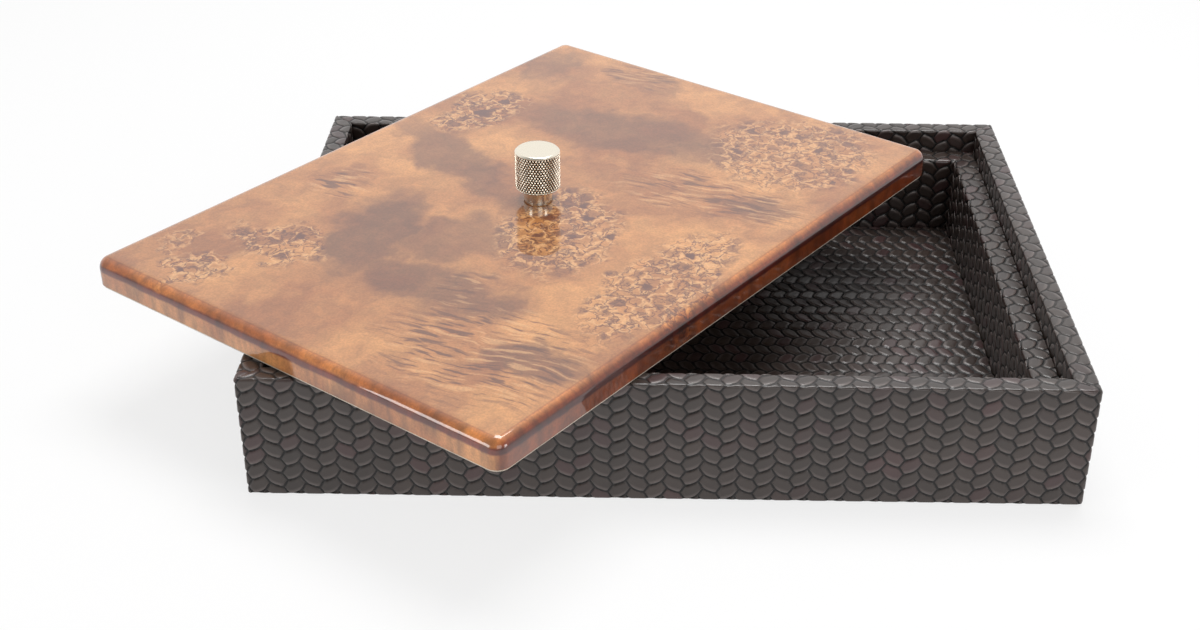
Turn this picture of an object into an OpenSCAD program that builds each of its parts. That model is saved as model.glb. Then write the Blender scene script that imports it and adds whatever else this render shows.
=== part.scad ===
// Stationery box: a shallow tray wrapped in woven-embossed leather, with a rebated inner frame,
// and a lacquered burl lid that lies askew across the rim. Millimetres, +Z up.
// The origin is the middle of the tray's underside, on the table. +X runs along the tray's length.

/* [Tray] */
// Outside length of the tray, along X
tray_l = 350; // [320:1:400]
// Outside width of the tray, along Y
tray_w = 261; // [235:1:300]
// Height of the rim above the table
tray_h = 57.5; // [48:0.5:80]
// Thickness of the four wall boards
wall_t = 8; // [6:0.5:11]
// Thickness of the base board
base_t = 3; // [2:0.5:5]
// Radius of the tray's four upright outer corners
corner_r = 2; // [1.8:0.1:4]
// Radius of the long edges of the rim
rim_r = 2; // [1.8:0.1:3.4]

/* [Leather] */
// Thickness of the embossed leather
leather_t = 1.2; // [0.9:0.1:1.6]
// Width of the leather turned in under the base
turn_in = 12; // [8:1:18]

/* [Inner frame] */
// Width of the frame's flat ledge, which the lid seats on
ledge_w = 12; // [8:0.5:15]
// Depth of the ledge below the rim
ledge_drop = 11.5; // [8:0.5:16]
// Radius of the ledge's inner edge
ledge_r = 1.8; // [1.6:0.1:2.6]
// Gap between the inner frame and the leather on the walls
frame_gap = 0.4; // [0.2:0.1:0.8]

/* [Floor and base pad] */
// Thickness of the card under the floor leather
floor_card_t = 1; // [0.6:0.2:2]
// Gap between the floor panel and the inner frame
floor_gap = 0.3; // [0.2:0.1:0.8]
// Thickness of the suede pad that the tray stands on
pad_t = 1.6; // [1.6:0.1:3]
// Gap between the pad and the turned-in leather
pad_gap = 0.4; // [0.2:0.1:1]

/* [Lid] */
// Whole thickness of the lid, lining and veneer included
lid_t = 14; // [13:0.5:18]
// Clearance between the lid and the rim at each short end, when it is on the ledge
lid_end_gap = 1.5; // [1:0.1:4]
// Clearance between the lid and the rim at each long side, where fingers lift it
lid_side_gap = 3.5; // [1.5:0.1:5]
// Radius of the lid's upright corners
lid_corner_r = 6; // [6:0.5:12]
// Radius of the lid's rounded upper edge
lid_edge_r = 5.5; // [4:0.5:5.5]
// Thickness of the burl veneer and its lacquer
veneer_t = 1; // [0.6:0.1:1.4]
// Thickness of the lining under the lid
lining_t = 1.2; // [0.8:0.1:2]
// Distance that the lining stops short of the lid's side
lining_inset = 0.4; // [0.2:0.1:1.5]
// Turn of the lid about the upright axis, where it lies askew
lid_turn = 53.5; // [30:0.05:60]
// Middle of the lid where it lies askew, along X
lid_x = -59.5; // [-75:0.5:-45]
// Middle of the lid where it lies askew, along Y
lid_y = 6; // [-10:0.5:20]

/* [Knob] */
// Radius of the knob's knurled head
knob_r = 10.4; // [9:0.1:13]
// Height of the knurled head
knob_head_h = 19; // [14:0.5:24]
// Radius of the plain neck under the head
neck_r = 6.7; // [5.5:0.1:8]
// Height of the plain neck
neck_h = 6.4; // [4:0.2:9]
// Width of the chamfer at both ends of the head
knob_chamfer = 0.8; // [0.4:0.1:1.4]

/* [Knob screw] */
// Radius of the screw's shank
screw_r = 2; // [1.5:0.25:2.5]
// Length of the shank that goes into the knob
screw_grip = 10; // [7:0.5:12]
// Radius of the screw's head
screw_head_r = 3.9; // [3.4:0.1:4.6]
// Height of the screw's head
screw_head_h = 2.4; // [1.8:0.1:3]
// Radius of the washer
washer_r = 4.8; // [4.5:0.1:5.5]
// Thickness of the washer
washer_t = 0.8; // [0.5:0.1:1.2]
// Clearance round the shank in the lid and in the washer
bore_gap = 0.3; // [0.2:0.05:0.5]
// Clearance round the shank in the knob's threaded hole
thread_gap = 0.05; // [0.02:0.01:0.1]
// Clearance round the washer in its pocket
pocket_gap = 0.7; // [0.4:0.1:1.2]
// Free depth in the pocket below the screw's head, and in the knob past the shank's end
end_gap = 1; // [0.5:0.1:1.5]

/* [Hidden] */
$fn = 64;

// Turn from the front to each of the four sides, anticlockwise seen from above
front_turn = 0;
right_turn = 90;
back_turn = 180;
left_turn = 270;

// Colours
LEATHER = "#4b423e";
BOARD = "#b9a283";
CARD = "#9d9388";
SUEDE = "#2c2826";
BURL = "#b8763f";
LINING = "#c9bba8";
NICKEL = "#cfcac2";
STEEL = "#9ea1a4";

// Amount that a cutting shape runs past the face it cuts
cut = 1;

// Heights above the table
board_z = pad_t;
leather_z = pad_t - leather_t;
base_top_z = board_z + base_t;
wall_top_z = tray_h - leather_t;
ledge_z = tray_h - ledge_drop;
rail_top_z = ledge_z - leather_t;
floor_card_z = base_top_z + floor_card_t;

// Distances in from the tray's outside
rim_w = wall_t + 2 * leather_t;
frame_in = rim_w + frame_gap;
well_in = rim_w + ledge_w;
mitre_depth = min(tray_l, tray_w) / 2;

// Lid
lid_l = tray_l - 2 * (rim_w + lid_end_gap);
lid_w = tray_w - 2 * (rim_w + lid_side_gap);
pocket_r = washer_r + pocket_gap;
pocket_depth = end_gap + screw_head_h + washer_t;
washer_z = lining_t + pocket_depth - washer_t;
screw_length = lid_t - washer_z + screw_grip;
lid_bore_r = screw_r + bore_gap;

// A rectangle about the origin with rounded corners
module rounded_rect(length, width, r) {
    square([length - 2 * r, width], center = true);
    square([length, width - 2 * r], center = true);
    for (x = [r - length / 2, length / 2 - r], y = [r - width / 2, width / 2 - r])
        translate([x, y]) circle(r);
}

// An upright section from left to right, with its two upper corners rounded
module round_topped(left, right, bottom, top, left_r, right_r) {
    translate([left, bottom]) square([right - left, top - bottom - max(left_r, right_r)]);
    translate([left + left_r, bottom]) square([right - left - left_r - right_r, top - bottom]);
    translate([left + left_r, top - left_r]) circle(left_r);
    translate([right - right_r, top - right_r]) circle(right_r);
}

function side_length(side_turn) = side_turn % back_turn == 0 ? tray_l : tray_w;
function side_reach(side_turn) = (side_turn % back_turn == 0 ? tray_w : tray_l) / 2;

// Carries a section along one side of the tray, with both ends mitred.
// In the section, x counts inwards from the tray's outside and y is the height.
module along_side(side_turn) {
    length = side_length(side_turn);
    reach = side_reach(side_turn);
    rotate([0, 0, side_turn]) intersection() {
        translate([-length / 2, -reach, 0]) rotate([90, 0, 90]) linear_extrude(length) children();
        translate([0, -reach, -cut]) linear_extrude(tray_h + 2 * cut) polygon([
            [-length / 2, 0],
            [length / 2, 0],
            [length / 2 - mitre_depth, mitre_depth],
            [mitre_depth - length / 2, mitre_depth]
        ]);
    }
}

// Keeps what lies inside the tray's outline, drawn in by the given amount
module inside_tray(inset) {
    intersection() {
        children();
        translate([0, 0, -cut]) linear_extrude(tray_h + 2 * cut)
            rounded_rect(tray_l - 2 * inset, tray_w - 2 * inset, corner_r - inset);
    }
}

// A wall board with its long upper edges eased, standing on the base board
module wall(side_turn) {
    color(BOARD) inside_tray(leather_t) along_side(side_turn)
        round_topped(leather_t, leather_t + wall_t, base_top_z, wall_top_z,
            rim_r - leather_t, rim_r - leather_t);
}

// One side's leather: in under the base, up the outside, over the rim and down inside to the base board
module wrap(side_turn) {
    color(LEATHER) inside_tray(0) along_side(side_turn) {
        difference() {
            round_topped(0, rim_w, leather_z, tray_h, rim_r, rim_r);
            round_topped(leather_t, leather_t + wall_t, leather_z - cut, wall_top_z,
                rim_r - leather_t, rim_r - leather_t);
            translate([leather_t, leather_z - cut]) square([rim_w, base_top_z - leather_z + cut]);
        }
        translate([0, leather_z]) square([turn_in, leather_t]);
    }
}

// One rail of the inner frame, standing on the base board
module ledge_rail(side_turn) {
    color(BOARD) along_side(side_turn)
        round_topped(frame_in, well_in - leather_t, base_top_z, rail_top_z, 0, ledge_r - leather_t);
}

// The leather on one rail: across its top and down its inner face
module ledge_cover(side_turn) {
    color(LEATHER) along_side(side_turn) difference() {
        round_topped(frame_in, well_in, base_top_z, ledge_z, 0, ledge_r);
        round_topped(frame_in - cut, well_in - leather_t, base_top_z - cut, rail_top_z,
            0, ledge_r - leather_t);
    }
}

module base_pad() {
    color(SUEDE) linear_extrude(pad_t)
        square([tray_l - 2 * (turn_in + pad_gap), tray_w - 2 * (turn_in + pad_gap)], center = true);
}

module base_board() {
    color(BOARD) translate([0, 0, board_z]) linear_extrude(base_t)
        rounded_rect(tray_l - 2 * leather_t, tray_w - 2 * leather_t, corner_r - leather_t);
}

// A flat sheet that fills the floor of the well
module floor_sheet(thickness) {
    linear_extrude(thickness)
        square([tray_l - 2 * (well_in + floor_gap), tray_w - 2 * (well_in + floor_gap)], center = true);
}

module floor_card() {
    color(CARD) translate([0, 0, base_top_z]) floor_sheet(floor_card_t);
}

module floor_leather() {
    color(LEATHER) translate([0, 0, floor_card_z]) floor_sheet(leather_t);
}

// Puts a piece of the lid, drawn about the middle of the lid's underside, where the lid lies
module place_lid() {
    translate([lid_x, lid_y, tray_h]) rotate([0, 0, lid_turn]) children();
}

// The upright section of the lid's edge, from where the corner's arc is centred to the outside
module lid_edge_section(bottom, inset) {
    corner = lid_corner_r - inset;
    top = lid_t - inset;
    intersection() {
        round_topped(0, corner, bottom, top, 0, lid_edge_r - inset);
        translate([0, bottom]) square([corner, top - bottom]);
    }
}

// A slab with upright rounded corners and a rounded upper edge, drawn in by the given amount.
// The section runs along each side and turns through a quarter circle at each corner.
module lid_slab(bottom, inset) {
    straight_l = lid_l - 2 * lid_corner_r;
    straight_w = lid_w - 2 * lid_corner_r;
    height = lid_t - inset - bottom;
    translate([-straight_l / 2, -straight_w / 2, bottom]) cube([straight_l, straight_w, height]);
    for (turn = [front_turn, right_turn, back_turn, left_turn]) {
        along = turn % back_turn == 0 ? straight_l : straight_w;
        out = (turn % back_turn == 0 ? straight_w : straight_l) / 2;
        rotate([0, 0, turn]) translate([-along / 2, out, 0]) {
            rotate([90, 0, 90]) linear_extrude(along) lid_edge_section(bottom, inset);
            rotate([0, 0, 90]) rotate_extrude(angle = 90) lid_edge_section(bottom, inset);
        }
    }
}

// The screw's hole through the lid
module lid_bore() {
    translate([0, 0, -cut]) cylinder(lid_t + 2 * cut, lid_bore_r, lid_bore_r);
}

// The board inside the lid, with the pocket for the screw's head and washer below
module lid_core() {
    color(BOARD) place_lid() difference() {
        lid_slab(lining_t, veneer_t);
        lid_bore();
        translate([0, 0, lining_t - cut]) cylinder(pocket_depth + cut, pocket_r, pocket_r);
    }
}

// The burl skin over the lid's top and sides
module lid_veneer() {
    color(BURL) place_lid() difference() {
        lid_slab(lining_t, 0);
        lid_slab(lining_t - cut, veneer_t);
        lid_bore();
    }
}

module lid_lining() {
    color(LINING) place_lid() linear_extrude(lining_t)
        rounded_rect(lid_l - 2 * lining_inset, lid_w - 2 * lining_inset, lid_corner_r - lining_inset);
}

// The turned knob: neck and head in one, with a blind threaded hole from below
module knob() {
    head_z = neck_h;
    top_z = neck_h + knob_head_h;
    color(NICKEL) place_lid() translate([0, 0, lid_t]) rotate_extrude() polygon([
        [screw_r + thread_gap, 0],
        [neck_r, 0],
        [neck_r, head_z],
        [knob_r - knob_chamfer, head_z],
        [knob_r, head_z + knob_chamfer],
        [knob_r, top_z - knob_chamfer],
        [knob_r - knob_chamfer, top_z],
        [0, top_z],
        [0, screw_grip + end_gap],
        [screw_r + thread_gap, screw_grip + end_gap]
    ]);
}

module knob_screw() {
    color(STEEL) place_lid() translate([0, 0, washer_z]) {
        cylinder(screw_length, screw_r, screw_r);
        translate([0, 0, -screw_head_h]) cylinder(screw_head_h, screw_head_r, screw_head_r);
    }
}

module knob_washer() {
    color(STEEL) place_lid() translate([0, 0, washer_z]) difference() {
        cylinder(washer_t, washer_r, washer_r);
        translate([0, 0, -cut]) cylinder(washer_t + 2 * cut, lid_bore_r, lid_bore_r);
    }
}

base_pad();
base_board();
wall(front_turn);  // front_wall
wall(right_turn);  // right_wall
wall(back_turn);  // back_wall
wall(left_turn);  // left_wall
wrap(front_turn);  // front_wrap
wrap(right_turn);  // right_wrap
wrap(back_turn);  // back_wrap
wrap(left_turn);  // left_wrap
ledge_rail(front_turn);  // front_ledge_rail
ledge_rail(right_turn);  // right_ledge_rail
ledge_rail(back_turn);  // back_ledge_rail
ledge_rail(left_turn);  // left_ledge_rail
ledge_cover(front_turn);  // front_ledge_cover
ledge_cover(right_turn);  // right_ledge_cover
ledge_cover(back_turn);  // back_ledge_cover
ledge_cover(left_turn);  // left_ledge_cover
floor_card();
floor_leather();
lid_core();
lid_veneer();
lid_lining();
knob();
knob_screw();
knob_washer();
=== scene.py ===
# %% [markdown]
# # A leather stationery box with a burl lid
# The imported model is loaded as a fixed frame: boards, leather, lid and knob already have their real size
# and place. Every new surface below takes its place from that frame. What the frame doesn't hold, such as
# small radii, the lid's turn and every pattern, is given here.

# %% Load the frame
import math

import bmesh
import bpy
import numpy as np
from mathutils import Matrix, Vector


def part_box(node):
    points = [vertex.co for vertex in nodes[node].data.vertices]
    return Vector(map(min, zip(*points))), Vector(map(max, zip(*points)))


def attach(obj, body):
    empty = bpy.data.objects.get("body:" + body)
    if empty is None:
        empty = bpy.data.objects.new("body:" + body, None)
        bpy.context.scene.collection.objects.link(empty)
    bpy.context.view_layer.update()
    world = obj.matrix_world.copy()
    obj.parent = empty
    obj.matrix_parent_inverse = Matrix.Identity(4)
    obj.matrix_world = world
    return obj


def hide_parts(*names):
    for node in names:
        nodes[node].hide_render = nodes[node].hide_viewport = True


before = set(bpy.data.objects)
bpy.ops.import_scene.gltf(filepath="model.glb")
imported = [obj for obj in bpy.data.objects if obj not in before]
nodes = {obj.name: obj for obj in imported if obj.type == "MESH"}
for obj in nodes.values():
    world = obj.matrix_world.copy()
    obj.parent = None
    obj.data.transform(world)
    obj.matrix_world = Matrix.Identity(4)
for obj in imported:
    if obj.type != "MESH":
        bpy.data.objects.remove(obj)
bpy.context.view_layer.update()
MM = 0.001

# %% [markdown]
# The camera comes first. A pinhole camera was fitted to the edges of the tray and the lid in the
# photograph, which gives the distance, the two angles, a slight roll and where the optical axis meets the
# picture. The lens and the shift follow from the focal length and that point, both in pixels of the 1200 x
# 630 picture.

# %% Camera
PICTURE_W, PICTURE_H = 1200, 630
SENSOR_MM = 36.0
FOCAL_PX = 1682.9
AXIS_PX = (629.9, 344.2)
CAMERA_TARGET = Vector((-15.9, -5.7, 0.0)) * MM
CAMERA_DISTANCE = 811.6 * MM
AZIMUTH, ELEVATION, ROLL = (math.radians(angle) for angle in (0.196, 31.534, 0.705))

back = Vector((math.sin(AZIMUTH) * math.cos(ELEVATION),
               -math.cos(AZIMUTH) * math.cos(ELEVATION),
               math.sin(ELEVATION)))
level = Vector((0, 0, 1)).cross(back).normalized()
upright = back.cross(level)
right = math.cos(ROLL) * level + math.sin(ROLL) * upright
up = math.cos(ROLL) * upright - math.sin(ROLL) * level

lens = bpy.data.cameras.new("camera")
lens.sensor_width = SENSOR_MM
lens.lens = FOCAL_PX * SENSOR_MM / PICTURE_W
lens.shift_x = (PICTURE_W / 2 - AXIS_PX[0]) / PICTURE_W
lens.shift_y = (AXIS_PX[1] - PICTURE_H / 2) / PICTURE_W
camera = bpy.data.objects.new("camera", lens)
stand = Matrix.Translation(CAMERA_TARGET + back * CAMERA_DISTANCE)
camera.matrix_world = stand @ Matrix((right, up, back)).transposed().to_4x4()
bpy.context.scene.collection.objects.link(camera)
bpy.context.scene.camera = camera
bpy.context.scene.view_settings.view_transform = "Standard"
print("lens %.1f mm, shift %.3f, %.3f" % (lens.lens, lens.shift_x, lens.shift_y))

# %% [markdown]
# Three helpers serve every material. Colours are written as sRGB hex, as on a paint chart, and turned to
# the linear values that the renderer works in. `add` puts one node in a tree: its settings are keyword
# arguments, and its live inputs follow in their order on the node. An input is a number, a colour, another
# node or one of a node's outputs. The third helper starts a material that has no nodes yet.

# %% Colour and node helpers
def colour(code):
    """sRGB hex to linear RGBA: up to 0.04045 divide by 12.92, above it raise (c + 0.055) / 1.055 to 2.4."""
    parts = [int(code[i:i + 2], 16) / 255 for i in (1, 3, 5)]
    return [c / 12.92 if c <= 0.04045 else ((c + 0.055) / 1.055) ** 2.4 for c in parts] + [1.0]


def add(tree, kind, *inputs, named=None, **settings):
    """One node: its settings, its live inputs in order (None leaves one alone) and more inputs by name."""
    made = tree.nodes.new("ShaderNode" + kind)
    for key, value in settings.items():
        setattr(made, key, value)
    pairs = list(zip([socket for socket in made.inputs if socket.enabled], inputs))
    pairs += [(made.inputs[key], value) for key, value in (named or {}).items()]
    for socket, value in pairs:
        if isinstance(value, bpy.types.Node):
            value = next(out for out in value.outputs if out.enabled)
        if isinstance(value, bpy.types.NodeSocket):
            tree.links.new(value, socket)
        elif value is not None:
            socket.default_value = value
    return made


def new_material(name):
    """An empty material, and its tree."""
    material = bpy.data.materials.new(name)
    material.use_nodes = True
    material.node_tree.nodes.clear()
    return material, material.node_tree


# %% [markdown]
# The studio is plain: a pale floor, a white surround and soft lamps. The surround is pure white to the
# camera. In reflections it is white behind the object and greyer in front of it, and it lights matt
# surfaces at a plain level. The floor is white paper that keeps a soft shadow.

# %% Surround and floor
SURROUND_LIGHT = 0.40
ROOM_GREY = 0.35
PAPER_GLOW = 0.75
FLOOR_HALF = 4.0


def seen_directly(tree):
    """1 for a ray from the camera, a reflection or a clear material, 0 for light that matt surfaces get."""
    path = add(tree, "LightPath").outputs
    seen = add(tree, "Math", path["Is Camera Ray"], path["Is Glossy Ray"], operation="MAXIMUM")
    return add(tree, "Math", seen, path["Is Transmission Ray"], operation="MAXIMUM")


world = bpy.data.worlds.new("white surround")
bpy.context.scene.world = world
world.use_nodes = True
world.node_tree.nodes.clear()
tree = world.node_tree
direction = add(tree, "SeparateXYZ", add(tree, "TexCoord").outputs["Generated"])
room = add(tree, "MapRange", direction.outputs["Y"], -0.2, 0.45, ROOM_GREY, 1.0,
           interpolation_type="SMOOTHSTEP")
strength = add(tree, "Mix", seen_directly(tree), SURROUND_LIGHT, room)
strength = add(tree, "Math", strength, add(tree, "LightPath").outputs["Is Camera Ray"], operation="MAXIMUM")
add(tree, "OutputWorld", add(tree, "Background", (1, 1, 1, 1), strength))

paper, tree = new_material("white paper")
glow = add(tree, "Math", seen_directly(tree), PAPER_GLOW, operation="MULTIPLY")
matt = add(tree, "BsdfDiffuse", (0.9, 0.9, 0.9, 1))
add(tree, "OutputMaterial", add(tree, "MixShader", glow, matt, add(tree, "Emission", (1, 1, 1, 1), 1.0)))

sheet = bpy.data.meshes.new("paper_floor")
sheet.from_pydata([(x * FLOOR_HALF, y * FLOOR_HALF, 0) for x, y in ((-1, -1), (1, -1), (1, 1), (-1, 1))], [],
                  [(0, 1, 2, 3)])
sheet.materials.append(paper)
floor = bpy.data.objects.new("paper_floor", sheet)
bpy.context.scene.collection.objects.link(floor)
print("floor and surround made")

# %% [markdown]
# Softboxes do the rest: a large one overhead and a little behind, which makes the rim and the tops of the
# knob and the lid brighter than the upright faces, a weaker one in front, so that the front's relief still
# shows, and two low strips at the sides, which give the knob its bright flanks and the lid's near corner
# its curved highlights.

# %% Softboxes
def softbox(name, place, aim, size, power):
    """A rectangular area lamp at a place in metres, facing a point."""
    lamp = bpy.data.lights.new(name, "AREA")
    lamp.shape = "RECTANGLE"
    lamp.size, lamp.size_y = size
    lamp.energy = power
    made = bpy.data.objects.new(name, lamp)
    made.location = place
    made.rotation_euler = (Vector(place) - Vector(aim)).to_track_quat("Z", "Y").to_euler()
    bpy.context.scene.collection.objects.link(made)


softbox("overhead_softbox", (0.1, 0.3, 1.3), (0, 0, 0.05), (0.9, 0.6), 13)
softbox("front_fill", (0.4, -1.3, 0.6), (0, 0, 0.03), (0.8, 0.6), 3)
softbox("left_strip", (-1.1, -0.65, 0.35), (0, 0, 0.05), (0.5, 0.35), 3)
softbox("right_strip", (1.1, -0.55, 0.35), (0, 0, 0.05), (0.5, 0.35), 3)

# %% [markdown]
# The tray's sizes are read off the frame's boxes, in millimetres: how far its sides reach, how thick leather
# and boards are, and where the inner frame lies. A box shows no rounding, so the small radii are given again.

# %% Sizes from the frame
def reach(node):
    """Lowest and highest corner of a node, in millimetres."""
    low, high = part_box(node)
    return np.array(low) / MM, np.array(high) / MM


wrap_low, wrap_high = reach("front_wrap")
wall_low, wall_high = reach("front_wall")
cover_low, cover_high = reach("front_ledge_cover")
rail_high = reach("front_ledge_rail")[1]
board_low, board_high = reach("base_board")
LEATHER_T = wrap_high[2] - wall_high[2]
TRAY_L = board_high[0] - board_low[0] + 2 * LEATHER_T
TRAY_W = board_high[1] - board_low[1] + 2 * LEATHER_T
TRAY_H = wrap_high[2]
WALL_T = wall_high[1] - wall_low[1]
RIM_W = WALL_T + 2 * LEATHER_T
TURN_IN = wrap_high[1] + TRAY_W / 2
HEM_Z = wrap_low[2]
BOARD_Z = board_low[2]
BASE_TOP_Z = board_high[2]
FRAME_IN = cover_low[1] + TRAY_W / 2
WELL_IN = cover_high[1] + TRAY_W / 2
LEDGE_Z = cover_high[2]
RAIL_IN = rail_high[1] + TRAY_W / 2
RAIL_Z = rail_high[2]
CORNER_R = 1.5
RIM_R = 1.4
LEDGE_R = 1.8
print("tray %.1f x %.1f x %.1f mm, rim %.1f wide, ledge at %.1f" % (TRAY_L, TRAY_W, TRAY_H, RIM_W, LEDGE_Z))

# %% [markdown]
# The leather is pressed with a braid: columns of rounded lozenges that slant one way and the other by
# turns, each column half a step above the last, so that their tips lock together. The pattern is a formula
# of two distances along the skin: p across the columns and q along them. Columns part along a zigzag, and
# the lozenges of one column part along slanted, slightly hollow curves. The distance to the nearest parting
# gives the relief of the mesh and, in the shader, the fine groove with its painted shade. The pitch is
# the tray's girth over a whole number of column pairs, so the braid closes on itself round the four corners.

# %% The braid
COLUMN_PAIRS = 81
ROW_PITCH = 7.2
SLANT = 0.42
HOLLOW = 0.055
ZIGZAG = 1.1
PARTING_BLEND = 1.0
GIRTH = 2 * (TRAY_L + TRAY_W) - 8 * CORNER_R + 2 * math.pi * CORNER_R
PITCH = GIRTH / (2 * COLUMN_PAIRS)
# The middle of one rising lozenge on the front, which sets where the braid lies
BRAID_X, BRAID_Z = 116.3, 40.6
# Where a lozenge's slanted curve ends: how far from the column's middle, and how high in either kind of it
TIP = PITCH / 2 - ZIGZAG
RISE_AT_TIP = HOLLOW * TIP ** 2 + SLANT * TIP
FALL_AT_TIP = HOLLOW * TIP ** 2 - SLANT * TIP
# How much shorter than along p and q the distances square to the partings are
SLANT_COSINE = 1 / math.hypot(1, SLANT)
ZIGZAG_COSINE = ROW_PITCH / math.hypot(ROW_PITCH, 4 * ZIGZAG)


def zigzag(t):
    """A triangle wave of period 1: 1 at whole numbers and -1 half way between."""
    return 1 - 4 * np.abs(t - np.round(t))


def soft_minimum(a, b, blend):
    """The lesser of a and b, rounded by a cubic of their difference where that is less than the blend."""
    return np.minimum(a, b) - np.maximum(blend - np.abs(a - b), 0) ** 3 / (6 * blend ** 2)


def braid(p, q):
    """Distance in mm to the nearest parting, and how far up its lozenge a point is, from -0.5 to 0.5.

    The nearest column line is n = p / pitch, rounded, and is shifted by a zigzag of q. The column is the one
    on the point's side of it. There (q - slanted curve of x) / row pitch counts the lozenges, half a step
    later in every second column.
    """
    n = np.round(p / PITCH)
    rising = zigzag((q - RISE_AT_TIP) / ROW_PITCH)
    falling = -zigzag((q - FALL_AT_TIP) / ROW_PITCH)
    beside = p - n * PITCH - ZIGZAG * np.where(np.mod(n, 2) > 0.5, rising, falling)
    column = n - (beside < 0)
    x = p - (column + 0.5) * PITCH
    odd = np.mod(column, 2)
    count = (q - (1 - 2 * odd) * SLANT * x - HOLLOW * x ** 2) / ROW_PITCH + 0.5 * odd
    up_lozenge = count - np.round(count)
    above = (0.5 - np.abs(up_lozenge)) * ROW_PITCH * SLANT_COSINE
    return soft_minimum(np.abs(beside) * ZIGZAG_COSINE, above, PARTING_BLEND), up_lozenge


RELIEF = 0.6
SHINGLE = 0.22
RELIEF_REACH = 1.15


def braid_depth(p, q, shingle=SHINGLE):
    """How deep the skin lies below its highest points, in mm.

    A smooth step, 3 t^2 - 2 t^3, of the distance to the parting over the reach makes each lozenge a pillow,
    and its upper end lies a little deeper than its lower one, like a shingle.
    """
    distance, up_lozenge = braid(p, q)
    t = np.clip(distance / RELIEF_REACH, 0, 1)
    return RELIEF * (1 - t * t * (3 - 2 * t)) + shingle * (up_lozenge + 0.5)


print("braid: columns %.2f mm, rows %.2f mm" % (PITCH, ROW_PITCH))

# %% [markdown]
# Embossed calf leather: the hide is drum-dyed a dark taupe, pressed with the braid between heated plates
# and given a thin satin finish. The eye gets a soft shine along the crowns, partings painted near-black as
# shade, a painted highlight along the lower edge of each lozenge, small differences of colour from lozenge
# to lozenge and a fine pore grain. The partings are worked out again in nodes, by the formula above with the
# UV map for p and q, so they fall exactly into the grooves of the mesh.

# %% The braid in nodes
def braid_nodes(tree):
    """The steps of braid() in nodes: distance in mm, the way up the lozenge, and chance for each lozenge."""
    skin = add(tree, "VectorMath", add(tree, "UVMap", uv_map="skin"), (1 / MM,) * 3, operation="MULTIPLY")
    place = add(tree, "SeparateXYZ", skin)
    p, q = place.outputs["X"], place.outputs["Y"]
    n = add(tree, "Math", add(tree, "Math", p, PITCH, operation="DIVIDE"), operation="ROUND")
    odd = add(tree, "Math", n, 2.0, operation="FLOORED_MODULO")
    waves = []
    for at_tip, way in ((RISE_AT_TIP, 1), (FALL_AT_TIP, -1)):
        rows = add(tree, "Math", q, 1 / ROW_PITCH, -at_tip / ROW_PITCH, operation="MULTIPLY_ADD")
        fold = add(tree, "Math", rows, 0.5, operation="PINGPONG")
        waves.append(add(tree, "Math", fold, -4 * ZIGZAG * way, ZIGZAG * way, operation="MULTIPLY_ADD"))
    shift = add(tree, "Mix", odd, waves[1], waves[0])
    parting = add(tree, "Math", n, PITCH, shift, operation="MULTIPLY_ADD")
    beside = add(tree, "Math", p, parting, operation="SUBTRACT")
    column = add(tree, "Math", n, add(tree, "Math", beside, 0.0, operation="LESS_THAN"), operation="SUBTRACT")
    middle = add(tree, "Math", column, PITCH, PITCH / 2, operation="MULTIPLY_ADD")
    x = add(tree, "Math", p, middle, operation="SUBTRACT")
    odd = add(tree, "Math", column, 2.0, operation="FLOORED_MODULO")
    slant = add(tree, "Math", odd, -2 * SLANT, SLANT, operation="MULTIPLY_ADD")
    slope = add(tree, "Math", x, HOLLOW, slant, operation="MULTIPLY_ADD")
    curve = add(tree, "Math", x, slope, operation="MULTIPLY")
    above_curve = add(tree, "Math", q, curve, operation="SUBTRACT")
    half_step = add(tree, "Math", odd, 0.5, operation="MULTIPLY")
    count = add(tree, "Math", above_curve, 1 / ROW_PITCH, half_step, operation="MULTIPLY_ADD")
    row = add(tree, "Math", count, operation="ROUND")
    fold = add(tree, "Math", count, 0.5, operation="PINGPONG")
    full = ROW_PITCH * SLANT_COSINE
    above = add(tree, "Math", fold, -full, full / 2, operation="MULTIPLY_ADD")
    off_line = add(tree, "Math", beside, operation="ABSOLUTE")
    across = add(tree, "Math", off_line, ZIGZAG_COSINE, operation="MULTIPLY")
    distance = add(tree, "Math", across, above, PARTING_BLEND, operation="SMOOTH_MIN")
    up_lozenge = add(tree, "Math", count, row, operation="SUBTRACT")
    chance = add(tree, "TexWhiteNoise", add(tree, "CombineXYZ", column, row))
    return distance, up_lozenge, chance


# %% Leather
leather, tree = new_material("embossed calf leather")
distance, up_lozenge, chance = braid_nodes(tree)
at = add(tree, "TexCoord").outputs["Object"]
crown = add(tree, "MapRange", distance, 0.12, 0.72, 0.0, 1.0, interpolation_type="SMOOTHSTEP")
# Three lozenges in ten are redder than the others, some of them only a little
redder = add(tree, "MapRange", chance, 0.7, 0.95, 0.0, 1.0)
dye = add(tree, "Mix", redder, colour("#342924"), colour("#402b2a"), data_type="RGBA")
# The hide took the dye unevenly, over some 40 mm, and each lozenge was pressed a little differently
uneven = add(tree, "MapRange", add(tree, "TexNoise", at, 1 / (40 * MM), 2.0), 0.35, 0.65, 0.85, 1.12)
luck = add(tree, "SeparateXYZ", chance.outputs["Color"]).outputs["Y"]
pressed = add(tree, "MapRange", luck, 0.0, 1.0, 0.82, 1.16)
tone = add(tree, "Math", uneven, pressed, operation="MULTIPLY")
dye = add(tree, "VectorMath", dye, named={"Scale": tone}, operation="SCALE")
# Painted highlight along the raised lower edge of each lozenge, where it catches the light, and a little
# rubbing by hands
lit_rubbed_edge = add(tree, "MapRange", up_lozenge, -0.15, -0.42, 0.0, 0.7)
lit_rubbed_edge = add(tree, "Math", lit_rubbed_edge, crown, operation="MULTIPLY")
dye = add(tree, "Mix", lit_rubbed_edge, dye, colour("#6f6460"), data_type="RGBA")
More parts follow.
